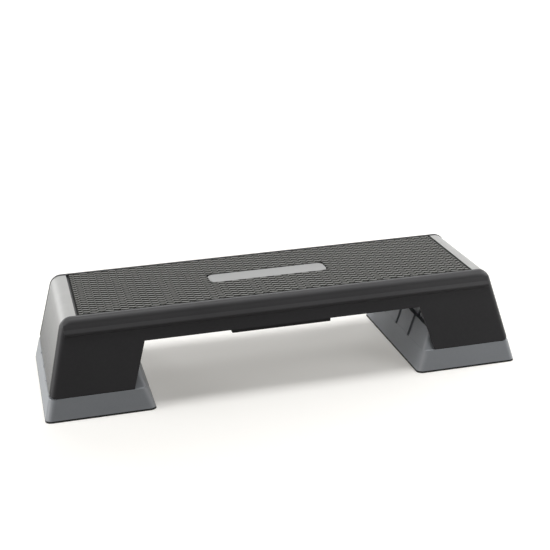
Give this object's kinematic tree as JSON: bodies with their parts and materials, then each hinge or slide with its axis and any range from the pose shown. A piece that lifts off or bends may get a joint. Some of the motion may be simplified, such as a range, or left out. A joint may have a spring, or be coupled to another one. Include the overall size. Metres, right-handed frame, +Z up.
{
  "type": "aerobic step platform",
  "caption": "Long low exercise step with a rubber tread on a black moulded deck, light grey sloping ends and a pull-out slate grey riser block in each leg.",
  "frame": {"origin": "on the floor under the middle of the platform, in the plane that the riser rims stand on", "axes": "+X along the length, to the right as seen from the front; +Y to the rear; +Z up"},
  "size_m": [0.9988, 0.3588, 0.2],
  "materials": {
    "black_plastic": "fine grain",
    "tread_rubber": "matte",
    "edge_rubber": "matte",
    "light_grey_plastic": "satin",
    "slate_grey_plastic": "fine grain",
    "screw_steel": "zinc plated"
  },
  "bodies": {
    "platform": {"deck_shell": "black_plastic", "top_mat": "tread_rubber", "centre_badge": "light_grey_plastic", "end_cap_left": "light_grey_plastic", "end_cap_right": "light_grey_plastic", "end_cap_screws": "screw_steel", "centre_brace": "black_plastic", "brace_screws": "screw_steel", "leg_strip_front_left": "edge_rubber", "leg_strip_front_right": "edge_rubber", "leg_strip_rear_left": "edge_rubber", "leg_strip_rear_right": "edge_rubber"},
    "left_riser": {"riser_left": "slate_grey_plastic", "riser_rim_left": "edge_rubber"},
    "right_riser": {"riser_right": "slate_grey_plastic", "riser_rim_right": "edge_rubber"}
  },
  "joints": [
    {"name": "left_riser_slide", "type": "slide", "parent": "platform", "child": "left_riser", "axis": [0, 0, -1], "range_m": [0, 0.075]},
    {"name": "right_riser_slide", "type": "slide", "parent": "platform", "child": "right_riser", "axis": [0, 0, -1], "range_m": [0, 0.075]}
  ]
}
